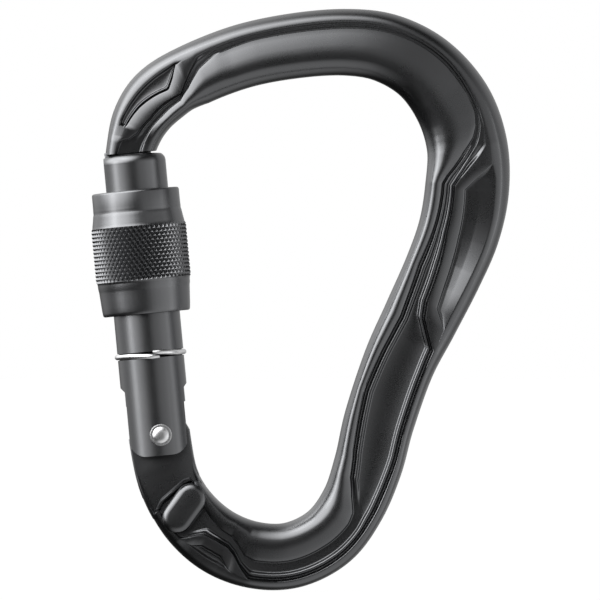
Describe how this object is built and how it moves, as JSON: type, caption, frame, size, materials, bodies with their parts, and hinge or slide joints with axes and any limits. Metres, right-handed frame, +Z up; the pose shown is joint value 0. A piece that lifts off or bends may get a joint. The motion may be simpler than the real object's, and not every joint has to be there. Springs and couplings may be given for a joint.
{
  "type": "locking carabiner",
  "caption": "Pear-shaped screw-gate carabiner with a keylock nose, a sprung gate and a knurled locking sleeve.",
  "frame": {"origin": "inside of the basket's top, on the middle plane, where a rope or an anchor bears", "axes": "+Z up towards the basket, +Y through the thickness to the back, +X towards the spine"},
  "size_m": [0.0795, 0.018, 0.1104],
  "materials": {
    "anodised_frame": "matte black anodised, hot forged",
    "anodised_gate": "matte dark grey anodised, turned",
    "anodised_sleeve": "matte dark grey anodised, turned and knurled",
    "bright_steel": "polished stainless steel",
    "spring_steel": "drawn spring wire"
  },
  "bodies": {
    "frame": {"frame_body": "anodised_frame"},
    "gate": {"gate_arm": "anodised_gate", "hinge_rivet": "bright_steel", "return_spring": "spring_steel"},
    "plunger": {"spring_plunger": "spring_steel"},
    "ring": {"stop_ring": "bright_steel"},
    "sleeve": {"screw_sleeve": "anodised_sleeve"}
  },
  "joints": [
    {"name": "gate_swing", "type": "hinge", "parent": "frame", "child": "gate", "pos_m": [-0.03165, 0, -0.0682], "axis": [0, 1, 0], "range_deg": [0, 27], "stiffness_Nm_per_rad": 0.25, "springref_deg": -28.65, "deforming": ["return_spring"]},
    {"name": "plunger_slide", "type": "slide", "parent": "gate", "child": "plunger", "axis": [-0.0937, 0, 0.9956], "range_m": [0, 0.00081]},
    {"name": "sleeve_turn", "type": "hinge", "parent": "gate", "child": "ring", "pos_m": [-0.03225, 0, -0.06826], "axis": [-0.0937, 0, 0.9956], "range_deg": [-1220, 1220]},
    {"name": "sleeve_travel", "type": "slide", "parent": "ring", "child": "sleeve", "axis": [-0.0937, 0, 0.9956], "range_m": [-0.0068, 0.0068]}
  ],
  "couplings": [
    {"joint": "plunger_slide", "follows": "gate_swing", "m_per_rad": 0.0016977},
    {"joint": "sleeve_travel", "follows": "sleeve_turn", "m_per_rad": 0.00031831}
  ]
}
